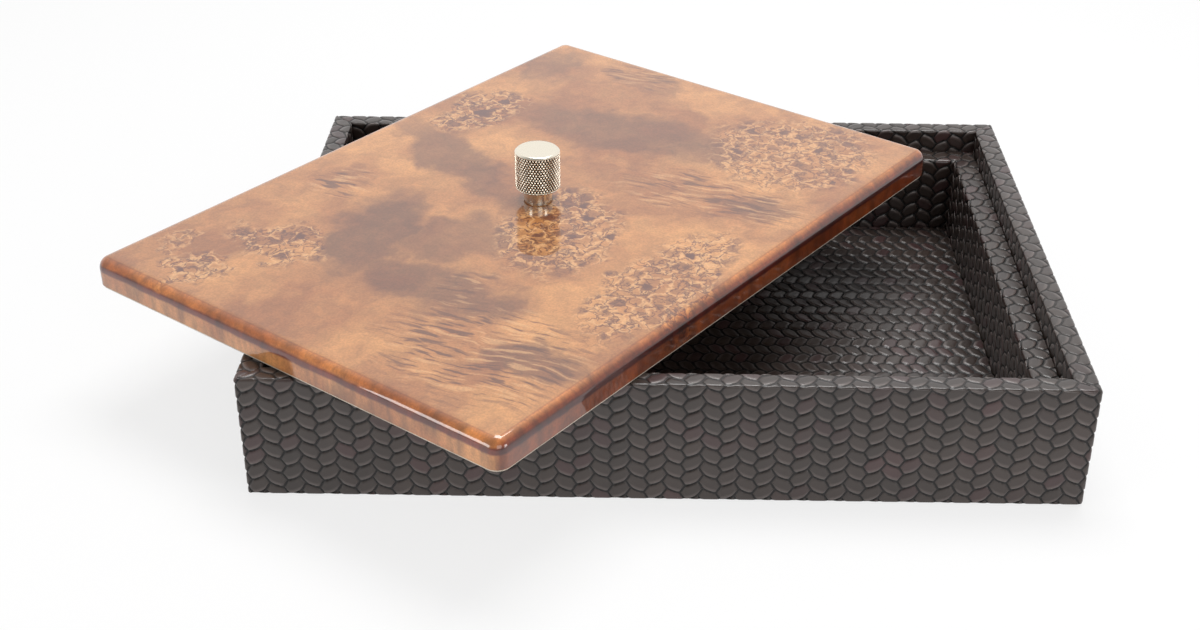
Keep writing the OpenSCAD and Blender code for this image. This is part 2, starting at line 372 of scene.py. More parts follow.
# Partings get painted shade; where the skin is stretched flat over the rim they are shallow and get less
high = add(tree, "SeparateXYZ", at).outputs["Z"]
stretched = add(tree, "MapRange", high, (TRAY_H - RIM_R) * MM, (TRAY_H - 0.4) * MM, 0.0, 0.3)
full = add(tree, "Math", crown, stretched, operation="MAXIMUM")
# Painted shade: the partings are darkened to near-black
dye = add(tree, "Mix", full, colour("#070403"), dye, data_type="RGBA")
gloss = add(tree, "MapRange", full, 0.0, 1.0, 0.8, 0.36)
# Real pores are 0.2 mm apart, too fine to show: these are 0.7 mm
pores = add(tree, "TexVoronoi", at, 1 / (0.7 * MM))
creased = add(tree, "Bump", named={"Strength": 1.0, "Distance": 0.45 * MM, "Height": crown})
grained = add(tree, "Bump", named={
    "Strength": 0.4, "Distance": 0.08 * MM, "Height": pores, "Normal": creased})
add(tree, "OutputMaterial", add(tree, "BsdfPrincipled", named={
    "Base Color": dye, "Roughness": gloss, "IOR": 1.5, "Normal": grained,
    "Coat Weight": 0.45, "Coat Roughness": 0.22, "Coat IOR": 1.5}))
print("leather:", len(tree.nodes), "nodes")


# %% [markdown]
# Mesh helpers come next. A grid of points becomes quads, and arrays of faces become one mesh, which is
# turned right side out if the volume inside it comes out negative.

# %% Mesh helpers
def grid_quads(rows, columns, round_rows=False, round_columns=False):
    """Vertex numbers of the quads of a grid; a round grid joins its last row or column to its first."""
    across, down = np.arange(columns - (not round_columns)), np.arange(rows - (not round_rows))
    r, c = np.meshgrid(down, across, indexing="ij")
    r2, c2 = (r + 1) % rows, (c + 1) % columns
    quads = np.stack([r * columns + c, r * columns + c2, r2 * columns + c2, r2 * columns + c], -1)
    return quads.reshape(-1, 4)


def capped_grid(rows, columns):
    """Faces of a grid whose columns go round, with one flat face on its first row and one on its last."""
    ends = np.arange(columns)[None]
    return [grid_quads(rows, columns, round_columns=True), ends[:, ::-1], ends + (rows - 1) * columns]


def volume(points, faces):
    """Volume inside the faces: a sixth of the sum of triple products of each face's fan of triangles."""
    total = 0.0
    for group in faces:
        ring = points[group]
        for k in range(1, group.shape[1] - 1):
            total += np.einsum("ij,ij->", ring[:, 0], np.cross(ring[:, k], ring[:, k + 1])) / 6
    return total


def piece(name, points, faces, material, uv=None, sharp=40, merge=False):
    """An object from points in mm, faces grouped by their number of corners, and a uv in mm per point."""
    faces = [np.asarray(group) for group in faces]
    if volume(points, faces) < 0:
        faces = [group[:, ::-1] for group in faces]
    loops = np.concatenate([group.reshape(-1) for group in faces]).astype(np.int32)
    sizes = np.concatenate([np.full(len(group), group.shape[1]) for group in faces])
    mesh = bpy.data.meshes.new(name)
    mesh.vertices.add(len(points))
    mesh.vertices.foreach_set("co", (points * MM).astype(np.float32).reshape(-1))
    mesh.loops.add(len(loops))
    mesh.loops.foreach_set("vertex_index", loops)
    mesh.polygons.add(len(sizes))
    mesh.polygons.foreach_set("loop_start", (np.cumsum(sizes) - sizes).astype(np.int32))
    mesh.update(calc_edges=True)
    if uv is not None:
        skin = mesh.uv_layers.new(name="skin")
        skin.data.foreach_set("uv", (uv[loops] * MM).astype(np.float32).reshape(-1))
    if merge:
        soup = bmesh.new()
        soup.from_mesh(mesh)
        bmesh.ops.remove_doubles(soup, verts=soup.verts, dist=1e-7)
        soup.to_mesh(mesh)
        soup.free()
    mesh.validate()
    mesh.shade_smooth()
    mesh.set_sharp_from_angle(angle=math.radians(sharp))
    mesh.materials.append(material)
    made = bpy.data.objects.new(name, mesh)
    bpy.context.scene.collection.objects.link(made)
    print("%s: %d faces, %.2f cubic cm" % (name, len(mesh.polygons), abs(volume(points, faces)) / 1000))
    return made


# %% [markdown]
# A section is a list of rows: distance in from the tray's outside, height, the two parts of the outward
# normal, and how much of the relief the row gets. Lines and arcs of such rows are joined into the section
# of a strip.

# %% Section helpers
def line(start, end, normal, step, share):
    """Rows along a straight line, without its end: start + t (end - start)."""
    start, end = np.array(start, float), np.array(end, float)
    count = max(1, round(np.linalg.norm(end - start) / step))
    t = np.arange(count)[:, None] / count
    return np.hstack([start + t * (end - start), np.tile(normal, (count, 1)), np.full((count, 1), share)])


def arc(centre, radius, start, end, step, share):
    """Rows along an arc, without its end: centre + radius (cos, sin), between two angles in degrees."""
    count = max(2, round(abs(math.radians(end - start)) * radius / step))
    angle = np.radians(start + (end - start) * np.arange(count) / count)[:, None]
    normal = np.hstack([np.cos(angle), np.sin(angle)])
    return np.hstack([np.array(centre) + radius * normal, normal, np.full((count, 1), share)])


# %% [markdown]
# Each side of the tray has one strip of leather. It starts under the base, turns up the outside, goes over
# the rim and down the inside, and its flesh side lies against the boards. The ends are mitred. Round the
# upright corner the carrying path is an arc, and further in than its radius the rows end on the mitre. The
# grid is fine where the relief shows and coarse where boards or the inner frame hide it.

# %% Strips round the walls
FINE = 0.62
COARSE = 8.0
HEM_R = 0.9
RIM_SHARE = 0.6
CREASE = 0.4
CREASE_REACH = 0.8
TURNS = {"front": 0, "right": 1, "back": 2, "left": 3}


def wall_section():
    """The skin side from the hem under the base to the foot of the inside, and the flesh side back again.

    The last value of a row is its share of the relief: less over the rim and inside, none where it is hidden.
    """
    bend_z = TRAY_H - RIM_R
    board_in = LEATHER_T + WALL_T
    board_r = RIM_R - LEATHER_T
    board_top = TRAY_H - LEATHER_T
    return np.vstack([
        line((TURN_IN, HEM_Z), (HEM_R, HEM_Z), (0, -1), COARSE, 0),
        arc((HEM_R, HEM_Z + HEM_R), HEM_R, 270, 180, 0.4, 0.4),
        line((0, HEM_Z + HEM_R), (0, bend_z), (-1, 0), FINE, 1),
        arc((RIM_R, bend_z), RIM_R, 180, 90, 0.5, RIM_SHARE),
        line((RIM_R, TRAY_H), (RIM_W - RIM_R, TRAY_H), (0, 1), FINE, RIM_SHARE),
        arc((RIM_W - RIM_R, bend_z), RIM_R, 90, 0, 0.5, RIM_SHARE),
        line((RIM_W, bend_z), (RIM_W, LEDGE_Z - 1), (1, 0), FINE, 0.8),
        line((RIM_W, LEDGE_Z - 1), (RIM_W, BASE_TOP_Z), (1, 0), COARSE, 0),
        line((RIM_W, BASE_TOP_Z), (board_in, BASE_TOP_Z), (0, -1), COARSE, 0),
        line((board_in, BASE_TOP_Z), (board_in, board_top - board_r), (-1, 0), COARSE, 0),
        arc((board_in - board_r, board_top - board_r), board_r, 0, 90, 0.8, 0),
        line((board_in - board_r, board_top), (LEATHER_T + board_r, board_top), (0, -1), 3, 0),
        arc((LEATHER_T + board_r, board_top - board_r), board_r, 90, 180, 0.8, 0),
        line((LEATHER_T, board_top - board_r), (LEATHER_T, BOARD_Z), (1, 0), COARSE, 0),
        line((LEATHER_T, BOARD_Z), (TURN_IN, BOARD_Z), (0, 1), COARSE, 0),
        [[TURN_IN, BOARD_Z, 1, 0, 0]],
    ])


def carry(section, turn, corner_r, braid_start):
    """Carries a section along one side and presses the relief into its skin; gives points and (p, q).

    A column's place s is its share of the row's mitred length. Past the corner's start, a column is an angle
    of up to 45 degrees, where a row less far in than the corner's radius lies at (radius - in) round the
    corner's centre. Along the mitre runs a crease, its depth times exp(-(distance / reach)^2), wherever that
    is deeper than the relief. The side is then turned by quarter turns about the tray's middle.
    """
    long, wide = (TRAY_L, TRAY_W) if turn % 2 == 0 else (TRAY_W, TRAY_L)
    quarter = (TRAY_L + TRAY_W) / 2 - 2 * CORNER_R + math.pi / 2 * CORNER_R
    inside, height, normal_in, normal_up, share = (section[:, k:k + 1] for k in range(5))
    span = long / 2 - np.maximum(inside, corner_r)
    s = np.linspace(-1, 1, round((long - 2 * corner_r) / FINE) + 1) * span
    lean = np.zeros_like(s)
    if corner_r:
        steps = np.tile(np.linspace(0, math.pi / 4, 5)[1:], (len(section), 1))
        s = np.hstack([-span + 0 * steps, s, span + 0 * steps])
        lean = np.hstack([-steps[:, ::-1], lean, steps])
    walked = np.cumsum(np.hypot(np.diff(section[:, 0]), np.diff(section[:, 1])))
    along = np.concatenate([[0], walked])[:, None]
    p = s + corner_r * lean * (inside < corner_r) + PITCH / 2 - BRAID_X + turn * quarter
    q = along + braid_start + 0 * s
    from_mitre = long / 2 - inside - np.abs(s)
    crease = CREASE * np.exp(-(from_mitre / CREASE_REACH) ** 2) * (inside >= corner_r)
    depth = share * np.maximum(braid_depth(p, q), crease)
    a, z = inside - normal_in * depth, height - normal_up * depth
    rounded = (lean != 0) & (inside < corner_r)
    x = np.where(rounded, (long / 2 - corner_r) * np.sign(lean) + (corner_r - a) * np.sin(lean),
                 s * (long / 2 - np.maximum(a, corner_r)) / span)
    y = np.where(rounded, corner_r - (corner_r - a) * np.cos(lean), a) - wide / 2
    cosine, sine = round(math.cos(turn * math.pi / 2)), round(math.sin(turn * math.pi / 2))
    return np.stack([x * cosine - y * sine, x * sine + y * cosine, z], -1), np.stack([p, q], -1)


def strip(name, section, turn, corner_r, braid_start, material):
    """A closed strip of leather: the carried section with a flat cap on each mitre."""
    points, uv = carry(section, turn, corner_r, braid_start)
    rows, columns = points.shape[:2]
    cap = np.arange(rows) * columns
    faces = [grid_quads(rows, columns, round_rows=True), cap[None, ::-1], cap[None] + columns - 1]
    return piece(name, points.reshape(-1, 3), faces, material, uv.reshape(-1, 2), merge=True)


wall_rows = wall_section()
# The braid's rows are counted from where the outside face starts, at the top of the hem's bend
wall_start = -BRAID_Z - (TURN_IN - HEM_R) - HEM_R * math.pi / 2 + HEM_Z + HEM_R
for side, turn in TURNS.items():
    made = strip(side + "_leather", wall_rows, turn, CORNER_R, wall_start, leather)
    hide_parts(side + "_wrap")
    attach(made, "box")

# %% [markdown]
# The inner frame is covered in the same way: its leather lies flat on the ledge, bends over the inner edge
# and goes down to the floor. Its corners are mitred sharp.

# %% Leather of the ledge
def ledge_section():
    """The skin side from the ledge's outer edge to the foot of the well, and the flesh side back again."""
    rail_r = LEDGE_R - LEATHER_T
    return np.vstack([
        line((FRAME_IN, RAIL_Z), (FRAME_IN, LEDGE_Z), (-1, 0), 1, 0),
        line((FRAME_IN, LEDGE_Z), (WELL_IN - LEDGE_R, LEDGE_Z), (0, 1), FINE, 0.7),
        arc((WELL_IN - LEDGE_R, LEDGE_Z - LEDGE_R), LEDGE_R, 90, 0, 0.5, 0.7),
        line((WELL_IN, LEDGE_Z - LEDGE_R), (WELL_IN, BASE_TOP_Z), (1, 0), FINE, 0.9),
        line((WELL_IN, BASE_TOP_Z), (RAIL_IN, BASE_TOP_Z), (0, -1), COARSE, 0),
        line((RAIL_IN, BASE_TOP_Z), (RAIL_IN, RAIL_Z - rail_r), (-1, 0), COARSE, 0),
        arc((RAIL_IN - rail_r, RAIL_Z - rail_r), rail_r, 0, 90, 0.4, 0),
        line((RAIL_IN - rail_r, RAIL_Z), (FRAME_IN, RAIL_Z), (0, -1), COARSE, 0),
    ])


LEDGE_BRAID_START = 2.0
for side, turn in TURNS.items():
    made = strip(side + "_ledge_leather", ledge_section(), turn, 0, LEDGE_BRAID_START, leather)
    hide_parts(side + "_ledge_cover")
    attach(made, "box")

# %% [markdown]
# The floor is one piece of the same leather, laid with its columns the other way. It is a grid over the top
# with straight edges and a flat flesh side.

# %% Leather of the floor
FLOOR_FINE = 0.85
# The floor's lozenges are tilted more than those of the walls
FLOOR_SHINGLE = 0.55
low, high = reach("floor_leather")
xs = np.linspace(low[0], high[0], round((high[0] - low[0]) / FLOOR_FINE) + 1)
ys = np.linspace(low[1], high[1], round((high[1] - low[1]) / FLOOR_FINE) + 1)
x, y = np.meshgrid(xs, ys)
uv = np.stack([y, x], -1)
top = np.stack([x, y, high[2] - braid_depth(y, x, FLOOR_SHINGLE)], -1).reshape(-1, 3)
rows, columns = x.shape
numbers = np.arange(rows * columns).reshape(rows, columns)
rim = np.concatenate([numbers[0, :-1], numbers[:-1, -1], numbers[-1, :0:-1], numbers[:0:-1, 0]])
foot = top[rim] * [1, 1, 0] + [0, 0, low[2]]
foot_numbers = len(top) + np.arange(len(rim))
sides = np.stack([rim, foot_numbers, np.roll(foot_numbers, -1), np.roll(rim, -1)], -1)
faces = [grid_quads(rows, columns), sides[:, ::-1], foot_numbers[None, ::-1]]
made = piece("braided_floor_leather", np.vstack([top, foot]), faces, leather,
             np.vstack([uv.reshape(-1, 2), uv.reshape(-1, 2)[rim]]))
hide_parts("floor_leather")
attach(made, "box")

# %% [markdown]
# The lid is a board with burl veneer over its top and sides, a rounded upper edge and rounded corners. Its
# pieces are rings of a rounded rectangle, stacked along a section, in the lid's own frame, and then turned
# to how the lid lies.

# %% Rings of a rounded rectangle
# The lid lies turned, so its box in the frame gives neither its turn nor its length and width
LID_TURN = math.radians(53.5)
LID_L, LID_W = 326.2, 233.2
LID_CORNER_R = 6.0
LID_EDGE_R = 5.5
VENEER_T = 1.0
knob_low, knob_high = reach("knob")
LID_X, LID_Y = (knob_low[:2] + knob_high[:2]) / 2
LID_TOP = reach("lid_veneer")[1][2]
CORE_Z = reach("lid_core")[0][2]


def ring(half_l, half_w, corner_r, inset):
    """A rounded rectangle, inset from the outer one: corners are arcs of (corner radius - inset)."""
    angle = np.linspace(0, math.pi / 2, 13)
    run_l = np.linspace(-1, 1, 25)[1:-1] * (half_l - corner_r)
    run_w = np.linspace(-1, 1, 17)[1:-1] * (half_w - corner_r)
    parts = []
    for k, (cx, cy) in enumerate([(1, 1), (-1, 1), (-1, -1), (1, -1)]):
        turned = angle + k * math.pi / 2
        radius = max(corner_r - inset, 0)
        parts.append(np.stack([cx * (half_l - corner_r) + radius * np.cos(turned),
                               cy * (half_w - corner_r) + radius * np.sin(turned)], -1))
        run = -run_l if k == 0 else -run_w if k == 1 else run_l if k == 2 else run_w
        flat = [(run, np.full_like(run, half_w - inset)), (np.full_like(run, inset - half_l), run),
                (run, np.full_like(run, inset - half_w)), (np.full_like(run, half_l - inset), run)][k]
        parts.append(np.stack(flat, -1))
    return np.vstack(parts)


def lay_lid(points):
    """From the lid's own frame to where the lid lies: a turn about the upright, then a shift."""
    cosine, sine = math.cos(LID_TURN), math.sin(LID_TURN)
    x, y = points[..., 0], points[..., 1]
    return np.stack([x * cosine - y * sine + LID_X, x * sine + y * cosine + LID_Y, points[..., 2]], -1)


def stack(rings, heights):
    """Rings of the same count at their heights, as one grid of points."""
    return np.concatenate([np.hstack([r, np.full((len(r), 1), z)]) for r, z in zip(rings, heights)])


# %% [markdown]
# Lacquered burl veneer: mappa burl is sliced from the warty outgrowth of a poplar. Its buds leave clusters
# of outlined eyes in dark mauve-brown, with drifting darker clouds and patches of curly grain between them.
# A thick clear lacquer, sanded and buffed, reflects its surroundings like glass and lays a white veil over
# the warm wood. Lists of patches place the figure in the lid's own coordinates. Noise bends the patches'
# outlines, cells make the eyes, and stretched noise makes the curly grain.

# %% The lid's own coordinates, and patches
def lid_place(tree):
    """Object coordinates turned into the lid's own u and v, and the height, all in mm."""
    at = add(tree, "TexCoord").outputs["Object"]
    return add(tree, "Mapping", at, (LID_X * MM, LID_Y * MM, 0), (0, 0, LID_TURN), (MM, MM, MM),
               vector_type="TEXTURE")


def patches(tree, place, spots, fade):
    """The strength of the strongest ellipse at a place: |(place - middle) / halves|, faded round 1."""
    most = 0.0
    for u, v, half_u, half_v, turn, weight in spots:
        spot = add(tree, "Mapping", place, (u, v, 0), (0, 0, math.radians(turn)), (half_u, half_v, 1e5),
                   vector_type="TEXTURE")
        far = add(tree, "VectorMath", spot, operation="LENGTH")
        inside = add(tree, "MapRange", far, 1 + fade, 1 - fade, 0.0, weight, interpolation_type="SMOOTHSTEP")
        most = add(tree, "Math", most, inside, operation="MAXIMUM")
    return most


def wandering(tree, place, size, reach_mm):
    """A place plus 4 reach (noise - 0.5): about the reach either way, as noise seldom leaves 0.25 to 0.75."""
    drift = add(tree, "TexNoise", place, 1 / size, 3.0).outputs["Color"]
    whole = 4 * reach_mm
    shift = add(tree, "VectorMath", drift, (whole,) * 3, (-whole / 2,) * 3, operation="MULTIPLY_ADD")
    return add(tree, "VectorMath", place, shift, operation="ADD")


# %% Where the figure lies
# u, v of the middle, half sizes, turn in degrees, strength
BIRDS_EYES = [(-140, 75, 14, 14, 0, 1), (-105, 62, 17, 25, 0, 1), (60, 88, 26, 19, 0, 1),
              (-20, -28, 40, 27, 25, 1), (-30, -93, 52, 20, 5, 1), (116, -65, 40, 40, 0, 0.9),
              (-128, 98, 10, 8, 0, 0.7)]
CLOUDS = [(-72, 36, 40, 18, 20, 1), (-90, -20, 18, 42, 8, 0.9), (10, 62, 15, 48, -22, 0.8),
          (85, 10, 21, 58, 12, 0.8), (56, -87, 13, 14, 0, 0.8), (-111, -88, 13, 22, 15, 0.9),
          (127, 97, 24, 14, 0, 0.6), (144, 45, 9, 24, 0, 0.4), (-55, 5, 26, 20, -20, 0.7)]
CURLS = [(-118, -68, 34, 42, 10, 1), (52, -62, 20, 46, 10, 0.9), (-44, 82, 14, 15, 0, 1),
         (-82, -28, 13, 10, 0, 0.8), (147, 55, 9, 24, 0, 0.8)]

# %% Burl
burl, tree = new_material("lacquered mappa burl veneer")
own = lid_place(tree)
bent = wandering(tree, own, 16.0, 8.0)
tide = add(tree, "TexNoise", bent, 1 / 45, 2.0)
tide = add(tree, "MapRange", tide, 0.35, 0.65, 0.0, 1.0)
wood = add(tree, "Mix", tide, colour("#9c5f33"), colour("#ca8c52"), data_type="RGBA")
cloud = patches(tree, bent, CLOUDS, 0.3)
cloud = add(tree, "Math", cloud, 0.78, operation="MULTIPLY")
wood = add(tree, "Mix", cloud, wood, colour("#5e301f"), data_type="RGBA")

# Everywhere the tone changes over some 9 mm too, along lines that wander
ripple = add(tree, "MapRange", add(tree, "TexNoise", bent, 1 / 9, 3.0), 0.32, 0.68, 0.87, 1.12)
wood = add(tree, "VectorMath", wood, named={"Scale": ripple}, operation="SCALE")

curl = patches(tree, bent, CURLS, 0.3)
grain_way = add(tree, "Mapping", wandering(tree, own, 30.0, 3.0), (0, 0, 0), (0, 0, math.radians(14)),
                (2.4, 17, 17), vector_type="TEXTURE")
strokes = add(tree, "TexNoise", grain_way, 1.0, 2.0)
pale_stroke = add(tree, "MapRange", strokes, 0.54, 0.66, 0.0, 0.5, interpolation_type="SMOOTHSTEP")
dark_stroke = add(tree, "MapRange", strokes, 0.47, 0.36, 0.0, 0.85, interpolation_type="SMOOTHSTEP")
wood = add(tree, "Mix", add(tree, "Math", curl, pale_stroke, operation="MULTIPLY"), wood, colour("#e0ab74"),
           data_type="RGBA")
wood = add(tree, "Mix", add(tree, "Math", curl, dark_stroke, operation="MULTIPLY"), wood, colour("#5c2f1e"),
           data_type="RGBA")

# %% Eyes of the burl
cluster = patches(tree, bent, BIRDS_EYES, 0.22)
swirled = wandering(tree, own, 6.5, 2.6)
cells = add(tree, "TexVoronoi", swirled, 1 / 8.5)
cell_tone = add(tree, "SeparateXYZ", cells.outputs["Color"])
eye = add(tree, "MapRange", cells, 0.3, 0.5, 1.0, 0.0, interpolation_type="SMOOTHSTEP")
eye = add(tree, "Math", eye, add(tree, "MapRange", cell_tone, 0.2, 0.9, 0.0, 0.95), operation="MULTIPLY")
ring_from = add(tree, "Math", cells, 0.56, operation="SUBTRACT")
pale_ring = add(tree, "MapRange", add(tree, "Math", ring_from, operation="ABSOLUTE"), 0.0, 0.12, 0.85, 0.0)
wrinkle = add(tree, "TexNoise", swirled, 1 / 5.5, 3.0)
wrinkle = add(tree, "Math", add(tree, "Math", wrinkle, 0.5, operation="SUBTRACT"), operation="ABSOLUTE")
outline = add(tree, "MapRange", wrinkle, 0.0, 0.06, 0.95, 0.0)
for shade, ink in ((pale_ring, "#dfa870"), (eye, "#54241f"), (outline, "#5c2a1c")):
    wood = add(tree, "Mix", add(tree, "Math", cluster, shade, operation="MULTIPLY"), wood, colour(ink),
               data_type="RGBA")
# The figure's fine stipple is real pores end on, 0.1 mm wide: drawn as 0.9 mm
stipple = add(tree, "MapRange", add(tree, "TexNoise", own, 1 / 0.9, 2.0), 0.35, 0.65, 0.88, 1.1)
wood = add(tree, "VectorMath", wood, named={"Scale": stipple}, operation="SCALE")

# %% Edges of the veneer and the lacquer
# Round the upper edge two bands are painted reflections: a dark band at the top of the side and an amber
# band on the rounded edge. How far each of the two lines lies below the top wavers.
DARK_REFLECTION_DROP, AMBER_REFLECTION_DROP, WAVER = 6.0, 3.1, 1.4
height = add(tree, "SeparateXYZ", own).outputs["Z"]
wavering = add(tree, "Math", add(tree, "TexNoise", own, 1 / 9.0), WAVER, height, operation="MULTIPLY_ADD")
# Noise is a half on average, so half the waver puts both lines back to where they are meant
dark_reflection_z = LID_TOP - DARK_REFLECTION_DROP + WAVER / 2
amber_reflection_z = LID_TOP - AMBER_REFLECTION_DROP + WAVER / 2
below_top = add(tree, "MapRange", height, LID_TOP - 0.35, LID_TOP - 0.1, 1.0, 0.0)
# Along the edges the knife crossed the burl's layers: short dark and light strokes run up and down
crossing = add(tree, "Mapping", own, (0, 0, 0), (0, 0, 0), (5, 5, 16), vector_type="TEXTURE")
layers = add(tree, "MapRange", add(tree, "TexNoise", crossing, 1.0, 5.0), 0.34, 0.66, 0.66, 1.3)
streaky = add(tree, "VectorMath", wood, named={"Scale": layers}, operation="SCALE")
wood = add(tree, "Mix", below_top, wood, streaky, data_type="RGBA")
# The long sides are painted darker: a painted reflection of the dark tray, which the near long side faces
spread = add(tree, "Math", add(tree, "SeparateXYZ", own).outputs["Y"], operation="ABSOLUTE")
tray_reflecting_side = add(tree, "MapRange", spread, LID_W / 2 - 3.2, LID_W / 2 - 1.2, 0.0, 1.0)
tray_reflection_tone = add(tree, "Mix", 1.0, wood, colour("#a5785a"), data_type="RGBA", blend_type="MULTIPLY")
wood = add(tree, "Mix", tray_reflecting_side, wood, tray_reflection_tone, data_type="RGBA")
figure = wood
# Both bands are painted reflections, laid over the wood's own figure
for edge_z, ink in ((dark_reflection_z, "#955b6a"), (amber_reflection_z, "#fbe3c0")):
    band = add(tree, "MapRange", wavering, edge_z - 0.5, edge_z + 0.5, 0.0, 1.0)
    reflection_tinted = add(tree, "Mix", 1.0, figure, colour(ink), data_type="RGBA", blend_type="MULTIPLY")
    wood = add(tree, "Mix", add(tree, "Math", band, below_top, operation="MULTIPLY"), wood, reflection_tinted,
               data_type="RGBA")
add(tree, "OutputMaterial", add(tree, "BsdfPrincipled", named={
    "Base Color": wood, "Roughness": 0.45, "IOR": 1.5, "Specular IOR Level": 0.3,
    "Coat Weight": 1.0, "Coat Roughness": 0.02, "Coat IOR": 1.7}))
print("burl:", len(tree.nodes), "nodes")

# %% [markdown]
# The veneer is a shell 1 mm thick: its outer section goes up the side and round the edge, the flat top runs
# in to the bore for the knob's screw, and the glue side runs back. All of it is one grid of rings, closed
# both ways.

# %% Veneer of the lid
BORE_R = 2.3
quarter_turn = np.linspace(0, math.pi / 2, 11)
bend_z = LID_TOP - LID_EDGE_R
# A ring near each end of the flat side keeps its shading flat
HOLD = 0.6
outer = [(0, CORE_Z), (0, CORE_Z + HOLD), (0, bend_z - HOLD)]
outer += [(LID_EDGE_R * (1 - math.cos(t)), bend_z + LID_EDGE_R * math.sin(t)) for t in quarter_turn]
core_r = LID_EDGE_R - VENEER_T
inner = [(LID_EDGE_R - core_r * math.cos(t), bend_z + core_r * math.sin(t)) for t in quarter_turn[::-1]]
inner += [(VENEER_T, CORE_Z)]
flat_edge = ring(LID_L / 2, LID_W / 2, LID_CORNER_R, LID_EDGE_R)
around = np.arctan2(flat_edge[:, 1], flat_edge[:, 0])[:, None]
bore = BORE_R * np.hstack([np.cos(around), np.sin(around)])
# The way in from the flat top's edge, 0, to the bore, 1
shares = [0.006, 0.2, 0.5, 0.8, 1.0]
rings = [ring(LID_L / 2, LID_W / 2, LID_CORNER_R, d) for d, z in outer]
rings += [flat_edge * (1 - t) + bore * t for t in shares]
rings += [flat_edge * (1 - t) + bore * t for t in shares[::-1]]
rings += [ring(LID_L / 2, LID_W / 2, LID_CORNER_R, d) for d, z in inner]
heights = [z for d, z in outer] + [LID_TOP] * len(shares)
heights += [LID_TOP - VENEER_T] * len(shares) + [z for d, z in inner]
points = lay_lid(stack(rings, heights))
faces = grid_quads(len(rings), len(flat_edge), round_rows=True, round_columns=True)
made = piece("burl_veneer", points, [faces], burl)
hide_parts("lid_veneer")
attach(made, "lid")


# %% [markdown]
# Under the lid lies a pale lining, and under the tray a dark suede pad. Both are soft sheets with rounded
# edges. Suede is the flesh side of a skin, sanded to a short nap: it is matt, with a faint bloom at
# glancing angles, and stroking leaves it in lighter and darker patches.

# %% Suede
def napped(name, lit, shaded):
    """Suede of two tones: patches 12 mm wide where the nap lies one way or the other.

    Its fibres are drawn 0.4 mm wide. The real ones are far finer.
    """
    made, tree = new_material(name)
    at = add(tree, "TexCoord").outputs["Object"]
    brushed = add(tree, "MapRange", add(tree, "TexNoise", at, 1 / (12 * MM), 3.0), 0.35, 0.65, 0.0, 1.0)
    nap = add(tree, "TexNoise", at, 1 / (0.4 * MM), 2.0)
    tone = add(tree, "Mix", brushed, colour(shaded), colour(lit), data_type="RGBA")
    tone = add(tree, "VectorMath", tone, named={"Scale": add(tree, "MapRange", nap, 0.3, 0.7, 0.8, 1.15)},
               operation="SCALE")
    fibres = add(tree, "Bump", named={"Strength": 0.5, "Distance": 0.15 * MM, "Height": nap})
    add(tree, "OutputMaterial", add(tree, "BsdfPrincipled", named={
        "Base Color": tone, "Roughness": 0.95, "Normal": fibres,
        "Sheen Weight": 0.35, "Sheen Roughness": 0.5}))
    return made


print("suede ready")


# %% Lining and pad
def soft_sheet(half_l, half_w, corner_r, low_z, high_z):
    """Rings over a thin sheet whose edge is half round, and a flat face above and below."""
    radius = (high_z - low_z) / 2
    turned = np.linspace(-math.pi / 2, math.pi / 2, 9)
    insets = radius * (1 - np.cos(turned))
    rings = [ring(half_l, half_w, corner_r, d) for d in insets]
    points = stack(rings, (low_z + high_z) / 2 + radius * np.sin(turned))
    return points, capped_grid(len(rings), len(rings[0]))


LINING_INSET = 0.4
lining = napped("pale suede lining", "#cdbfae", "#b3a493")
low, high = reach("lid_lining")
points, faces = soft_sheet(LID_L / 2 - LINING_INSET, LID_W / 2 - LINING_INSET, LID_CORNER_R, low[2], high[2])
made = piece("suede_lid_lining", lay_lid(points), faces, lining)
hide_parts("lid_lining")
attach(made, "lid")

suede = napped("dark suede", "#2c2624", "#1d1917")
low, high = reach("base_pad")
PAD_CORNER_R = 1.0
points, faces = soft_sheet((high[0] - low[0]) / 2, (high[1] - low[1]) / 2, PAD_CORNER_R, low[2], high[2])
made = piece("suede_base_pad", points, faces, suede)
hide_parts("base_pad")
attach(made, "box")

# %% [markdown]
# The knob is turned from bar and plated. Its head is knurled by two rollers that press crossing helical
# grooves, so that diamonds stand between them, with a plain chamfer above and below; the neck is plain. A
# profile of radius by height is turned round the axis, and the knurl is taken off the radius.

# %% Sizes of the knob
# The real knurl has some 60 grooves, counted and too fine to show: 44 are drawn
KNURLS = 44
KNURL_DEPTH = 0.6
KNURL_LEAN = math.radians(32)
KNURL_RUN_OUT = 0.5
NECK_R = 6.7
NECK_H = 6.4
CHAMFER = 0.8
# The neck is cut in a little at its foot, which leaves a dark ring
UNDERCUT = 0.8
# The turned grid ends in a tiny ring, which a flat face closes
AXIS_GAP = 0.01
HEAD_R = (knob_high[0] - knob_low[0]) / 2
neck_z, head_low, head_high = LID_TOP, LID_TOP + NECK_H, knob_high[2]
print("knob %.1f mm across" % (2 * HEAD_R))

# %% [markdown]
# Nickel plate over turned brass is a warm grey metal. The lathe's cut leaves it satin, with faint rings,
# and the bottoms of the knurl are painted dark as shade, which makes the diamonds stand out.

# %% Nickel
nickel, tree = new_material("knurled nickel plate")
at = add(tree, "TexCoord").outputs["Object"]
from_axis = add(tree, "Mapping", at, (LID_X * MM, LID_Y * MM, 0), (0, 0, 0), (MM, MM, MM),
                vector_type="TEXTURE")
place = add(tree, "SeparateXYZ", from_axis)
level = add(tree, "CombineXYZ", place.outputs["X"], place.outputs["Y"])
out_from_axis = add(tree, "VectorMath", level, operation="LENGTH")
half_head = (head_high - head_low) / 2 - CHAMFER
on_knurl = add(tree, "Math", place.outputs["Z"], (head_low + head_high) / 2, half_head, operation="COMPARE")
sunk = add(tree, "MapRange", out_from_axis, HEAD_R - 0.7 * KNURL_DEPTH, HEAD_R - 0.15 * KNURL_DEPTH, 1.0, 0.0)
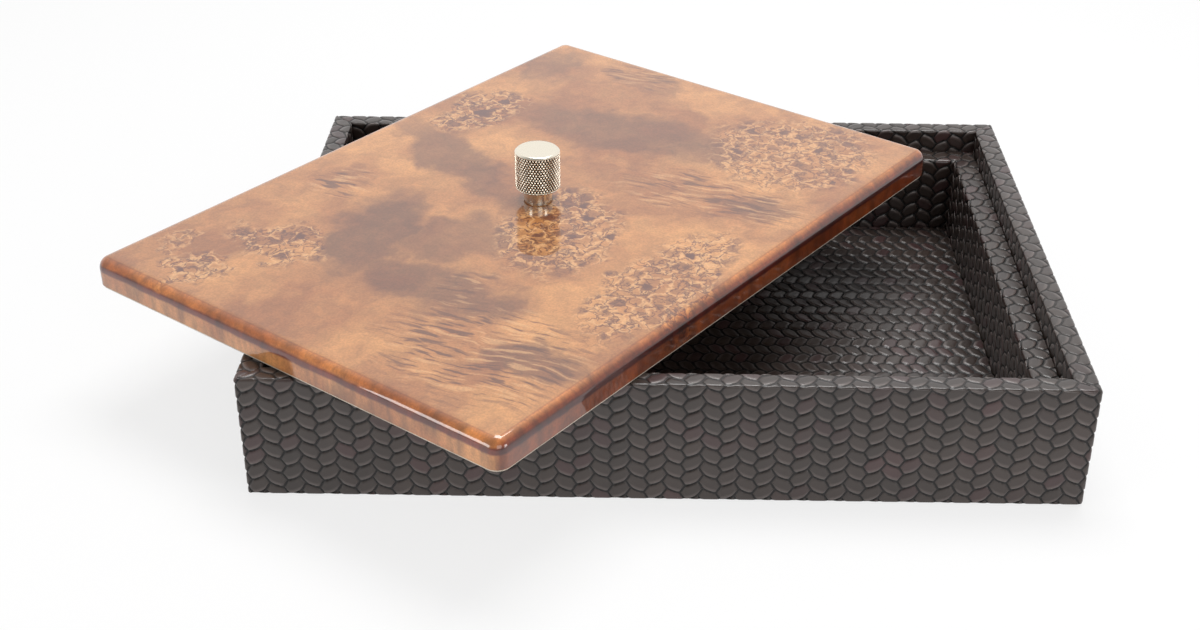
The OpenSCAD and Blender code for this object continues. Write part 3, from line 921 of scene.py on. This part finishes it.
# Painted shade: the sunk bottoms of the knurl are darkened to near-black
knurl_groove_shade = add(tree, "Math", on_knurl, sunk, operation="MULTIPLY")
metal = add(tree, "Mix", knurl_groove_shade, colour("#f1e9d8"), colour("#1d1712"), data_type="RGBA")
rings_at = add(tree, "CombineXYZ", out_from_axis, 0.0, place.outputs["Z"])
# Lathe marks are some 0.05 mm apart: drawn as 0.3 mm
marks = add(tree, "TexNoise", rings_at, 1 / 0.3, 2.0)
cut = add(tree, "Bump", named={"Strength": 0.15, "Distance": 0.02 * MM, "Height": marks})
satin = add(tree, "MapRange", marks, 0.3, 0.7, 0.16, 0.26)
add(tree, "OutputMaterial", add(tree, "BsdfPrincipled", named={
    "Base Color": metal, "Metallic": 1.0, "Roughness": satin, "Normal": cut}))
print("nickel:", len(tree.nodes), "nodes")


# %% The knob
def knurl(angle, z):
    """Depth of the crossed grooves: two triangle waves of 0 to 1, along the angle plus and minus the height.

    The deeper one counts. Its upper half is stretched to the whole depth and the rest left flat, so the
    diamonds keep flat tops.
    """
    climb = KNURLS * z * math.tan(KNURL_LEAN) / (2 * math.pi * HEAD_R)
    round_share = KNURLS * angle / (2 * math.pi)
    first, second = round_share + climb, round_share - climb
    groove = [0.5 - 0.5 * zigzag(t) for t in (first, second)]
    return KNURL_DEPTH * np.clip(2 * np.maximum(*groove) - 1, 0, 1)


GROOVE_POINTS = 8
KNURL_ROWS = 120
knurled = np.linspace(head_low + CHAMFER, head_high - CHAMFER, KNURL_ROWS)
profile = [(AXIS_GAP, neck_z), (NECK_R - UNDERCUT, neck_z), (NECK_R - UNDERCUT, neck_z + 0.6),
           (NECK_R, neck_z + 0.9), (NECK_R, head_low - 0.4), (NECK_R + 0.1, head_low - 0.1),
           (NECK_R + 0.4, head_low), (HEAD_R - CHAMFER - 0.3, head_low),
           (HEAD_R - CHAMFER, head_low + 0.08), (HEAD_R - 0.35, head_low + CHAMFER - 0.3)]
profile += [(HEAD_R, z) for z in knurled]
profile += [(HEAD_R - 0.35, head_high - CHAMFER + 0.3), (HEAD_R - CHAMFER, head_high - 0.08),
            (HEAD_R - CHAMFER - 0.15, head_high), (HEAD_R - 2.0, head_high), (AXIS_GAP, head_high)]
radius, z = (np.array(values)[:, None] for values in zip(*profile))
angle = np.linspace(0, 2 * math.pi, KNURLS * GROOVE_POINTS + 1)[None, :-1]
fade = np.clip(np.minimum(z - knurled[0], knurled[-1] - z) / KNURL_RUN_OUT, 0, 1)
turned = radius - np.where(radius == HEAD_R, fade * knurl(angle, z), 0)
points = np.stack([LID_X + turned * np.cos(angle), LID_Y + turned * np.sin(angle), z + 0 * angle], -1)
made = piece("knurled_knob", points.reshape(-1, 3), capped_grid(*points.shape[:2]), nickel, sharp=30)
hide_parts("knob")
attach(made, "lid")

# %% [markdown]
# What is left of the frame stays as it is and only gets its finish. The base, the walls, the rails and the
# lid's core are fibreboard: pressed wood fibres, tan, with darker flecks. The floor card is grey board made
# of waste paper, and the knob's screw and washer are zinc-plated steel, which has a bluish spangle.

# %% Fibreboard and card
def pressed_fibre(name, light, dark, fleck, fibre_mm):
    """Two tones by noise of 15 mm, with flecks where stretched noise of the fibre's size is highest."""
    made, tree = new_material(name)
    at = add(tree, "TexCoord").outputs["Object"]
    lie = add(tree, "Mapping", at, (0, 0, 0), (0, 0, 0.5), (3, 1, 1))
    uneven = add(tree, "TexNoise", at, 1 / (15 * MM), 3.0)
    fibres = add(tree, "TexNoise", lie, 1 / (fibre_mm * MM), 3.0)
    tone = add(tree, "Mix", add(tree, "MapRange", uneven, 0.35, 0.65, 0.0, 1.0), colour(light), colour(dark),
               data_type="RGBA")
    tone = add(tree, "Mix", add(tree, "MapRange", fibres, 0.6, 0.68, 0.0, 0.8), tone, colour(fleck),
               data_type="RGBA")
    rough = add(tree, "Bump", named={"Strength": 0.3, "Distance": 0.1 * MM, "Height": fibres})
    add(tree, "OutputMaterial", add(tree, "BsdfPrincipled", named={
        "Base Color": tone, "Roughness": 0.85, "Normal": rough}))
    return made


fibreboard = pressed_fibre("medium-density fibreboard", "#b99e7d", "#a68b6a", "#7f6549", 1.5)
card = pressed_fibre("grey board of waste paper", "#9d9489", "#8c8378", "#5d564e", 1.0)

# %% Zinc-plated steel
zinc, tree = new_material("zinc-plated steel")
at = add(tree, "TexCoord").outputs["Object"]
spangle = add(tree, "TexVoronoi", at, 1 / (1.2 * MM))
shade = add(tree, "SeparateXYZ", spangle.outputs["Color"])
tone = add(tree, "Mix", shade, colour("#9aa0a8"), colour("#b8bcc0"), data_type="RGBA")
add(tree, "OutputMaterial", add(tree, "BsdfPrincipled", named={
    "Base Color": tone, "Metallic": 1.0, "Roughness": add(tree, "MapRange", shade, 0.0, 1.0, 0.25, 0.4)}))

finishes = {"knob_screw": zinc, "knob_washer": zinc, "floor_card": card}
for name, node in nodes.items():
    if not node.hide_render:
        node.data.materials.clear()
        node.data.materials.append(finishes.get(name, fibreboard))
        print(name, "is", node.data.materials[0].name)
